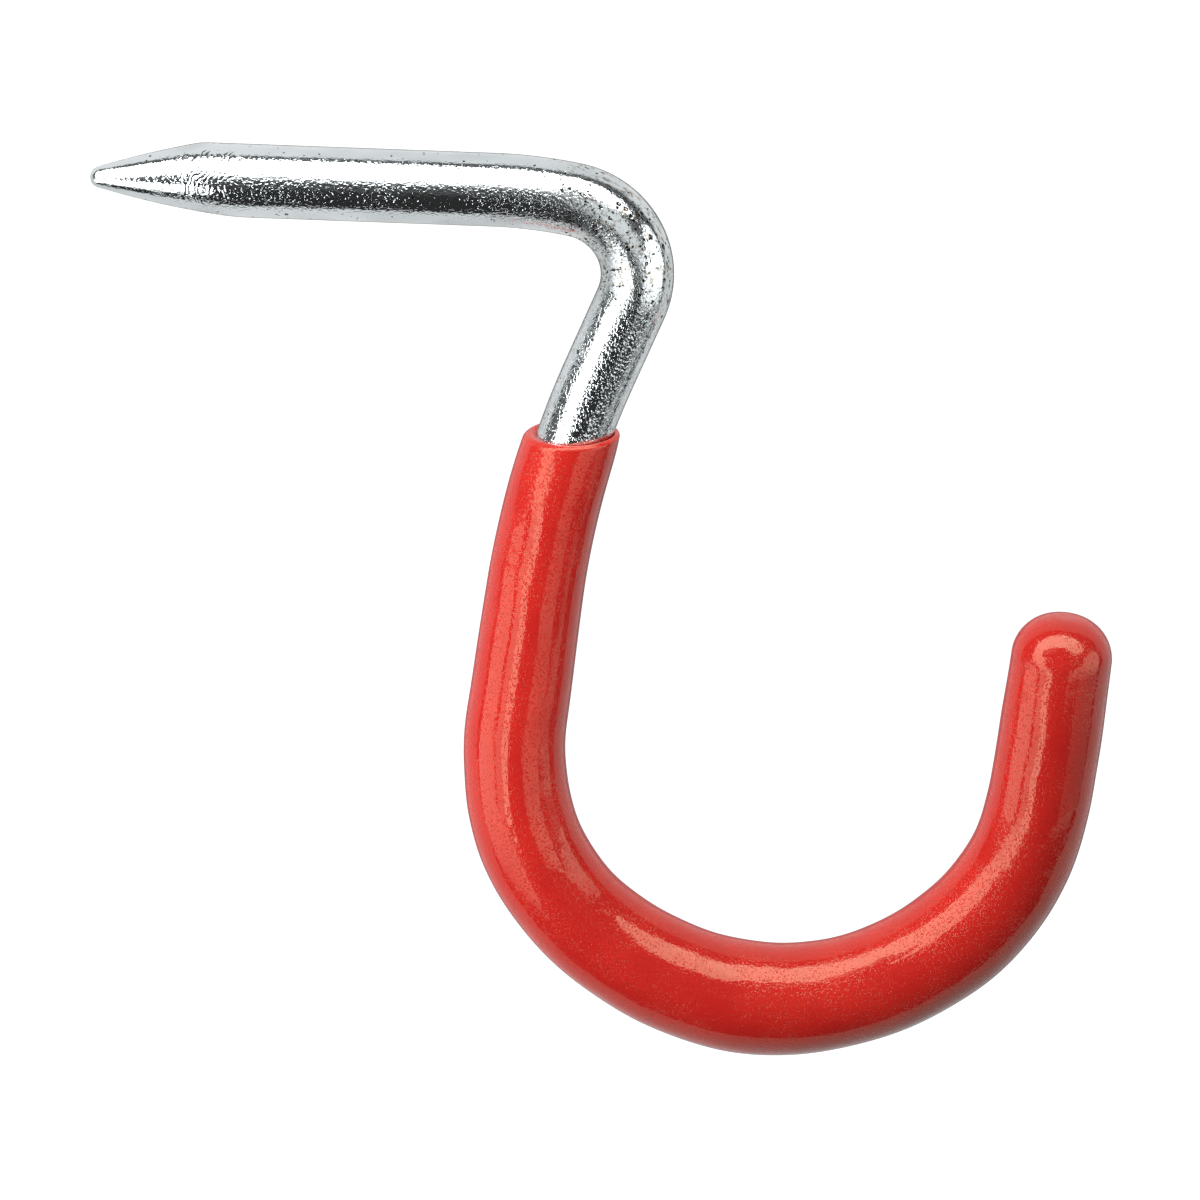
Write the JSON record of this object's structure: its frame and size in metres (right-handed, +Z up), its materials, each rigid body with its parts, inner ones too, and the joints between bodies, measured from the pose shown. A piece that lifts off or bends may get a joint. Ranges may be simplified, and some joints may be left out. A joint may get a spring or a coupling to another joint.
{
  "type": "drive-in utility hook",
  "caption": "Hammer-in wall hook: a bent zinc-plated steel rod with a nail point and a cranked neck, opening into a wide J that is dipped in thick red vinyl up to its rounded tip.",
  "frame": {"origin": "where the nail's axis meets the wall plane, which the coated shank also touches", "axes": "-X along the nail towards its point, into the wall; +Z up; the whole rod lies in the XZ plane, so Y is across it"},
  "size_m": [0.0899, 0.01, 0.0822],
  "materials": {
    "zinc_plated_steel": "bright zinc plate over drawn wire, slightly pitted",
    "red_vinyl": "glossy dipped plastisol with a slight orange peel"
  },
  "bodies": {
    "root": {"steel_rod": "zinc_plated_steel", "vinyl_coating": "red_vinyl"}
  },
  "joints": []
}
